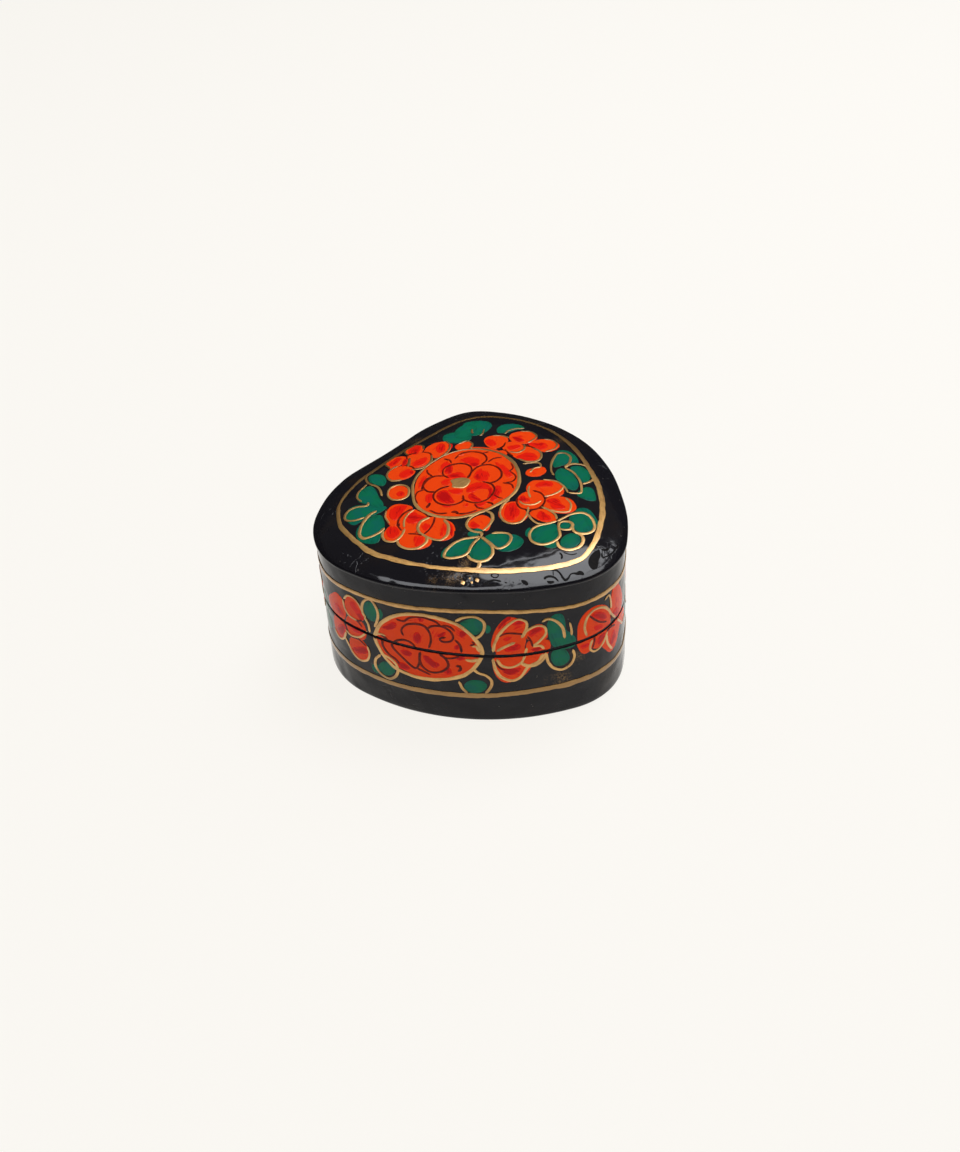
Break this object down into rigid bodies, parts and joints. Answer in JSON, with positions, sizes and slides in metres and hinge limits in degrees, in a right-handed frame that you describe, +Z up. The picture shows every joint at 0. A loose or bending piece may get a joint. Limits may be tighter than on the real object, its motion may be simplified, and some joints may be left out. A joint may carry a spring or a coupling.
{
  "type": "papier mache trinket box",
  "caption": "Soft heart-shaped papier mache trinket box with a lift-off domed lid, glossy black lacquer, painted red flowers, green leaves and gold outlines.",
  "frame": {"origin": "middle of the footprint's bounding box, on the surface that the box stands on", "axes": "+Z up, +X across both lobes of the heart, +Y from the tip of the heart to the notch between its lobes"},
  "size_m": [0.076, 0.0734, 0.0431],
  "materials": {
    "lacquered_papier_mache": "glossy black lacquer over sanded papier mache",
    "collar_strip": "satin black paint over a pasted card strip",
    "petal_paint": "orange-red and crimson petals painted by hand under clear lacquer",
    "leaf_paint": "deep green leaves painted by hand under clear lacquer",
    "vein_paint": "thin dark brush lines under clear lacquer",
    "gold_paint": "gold pigment paint in raised brush lines under clear lacquer"
  },
  "bodies": {
    "base": {"base_floor": "lacquered_papier_mache", "base_side": "lacquered_papier_mache", "base_collar": "collar_strip"},
    "lid": {"lid_side": "lacquered_papier_mache", "lid_crown": "lacquered_papier_mache"}
  },
  "joints": [
    {"name": "lid_lift", "type": "slide", "parent": "base", "child": "lid", "axis": [0, 0, 1], "range_m": [0, 0.045]}
  ]
}
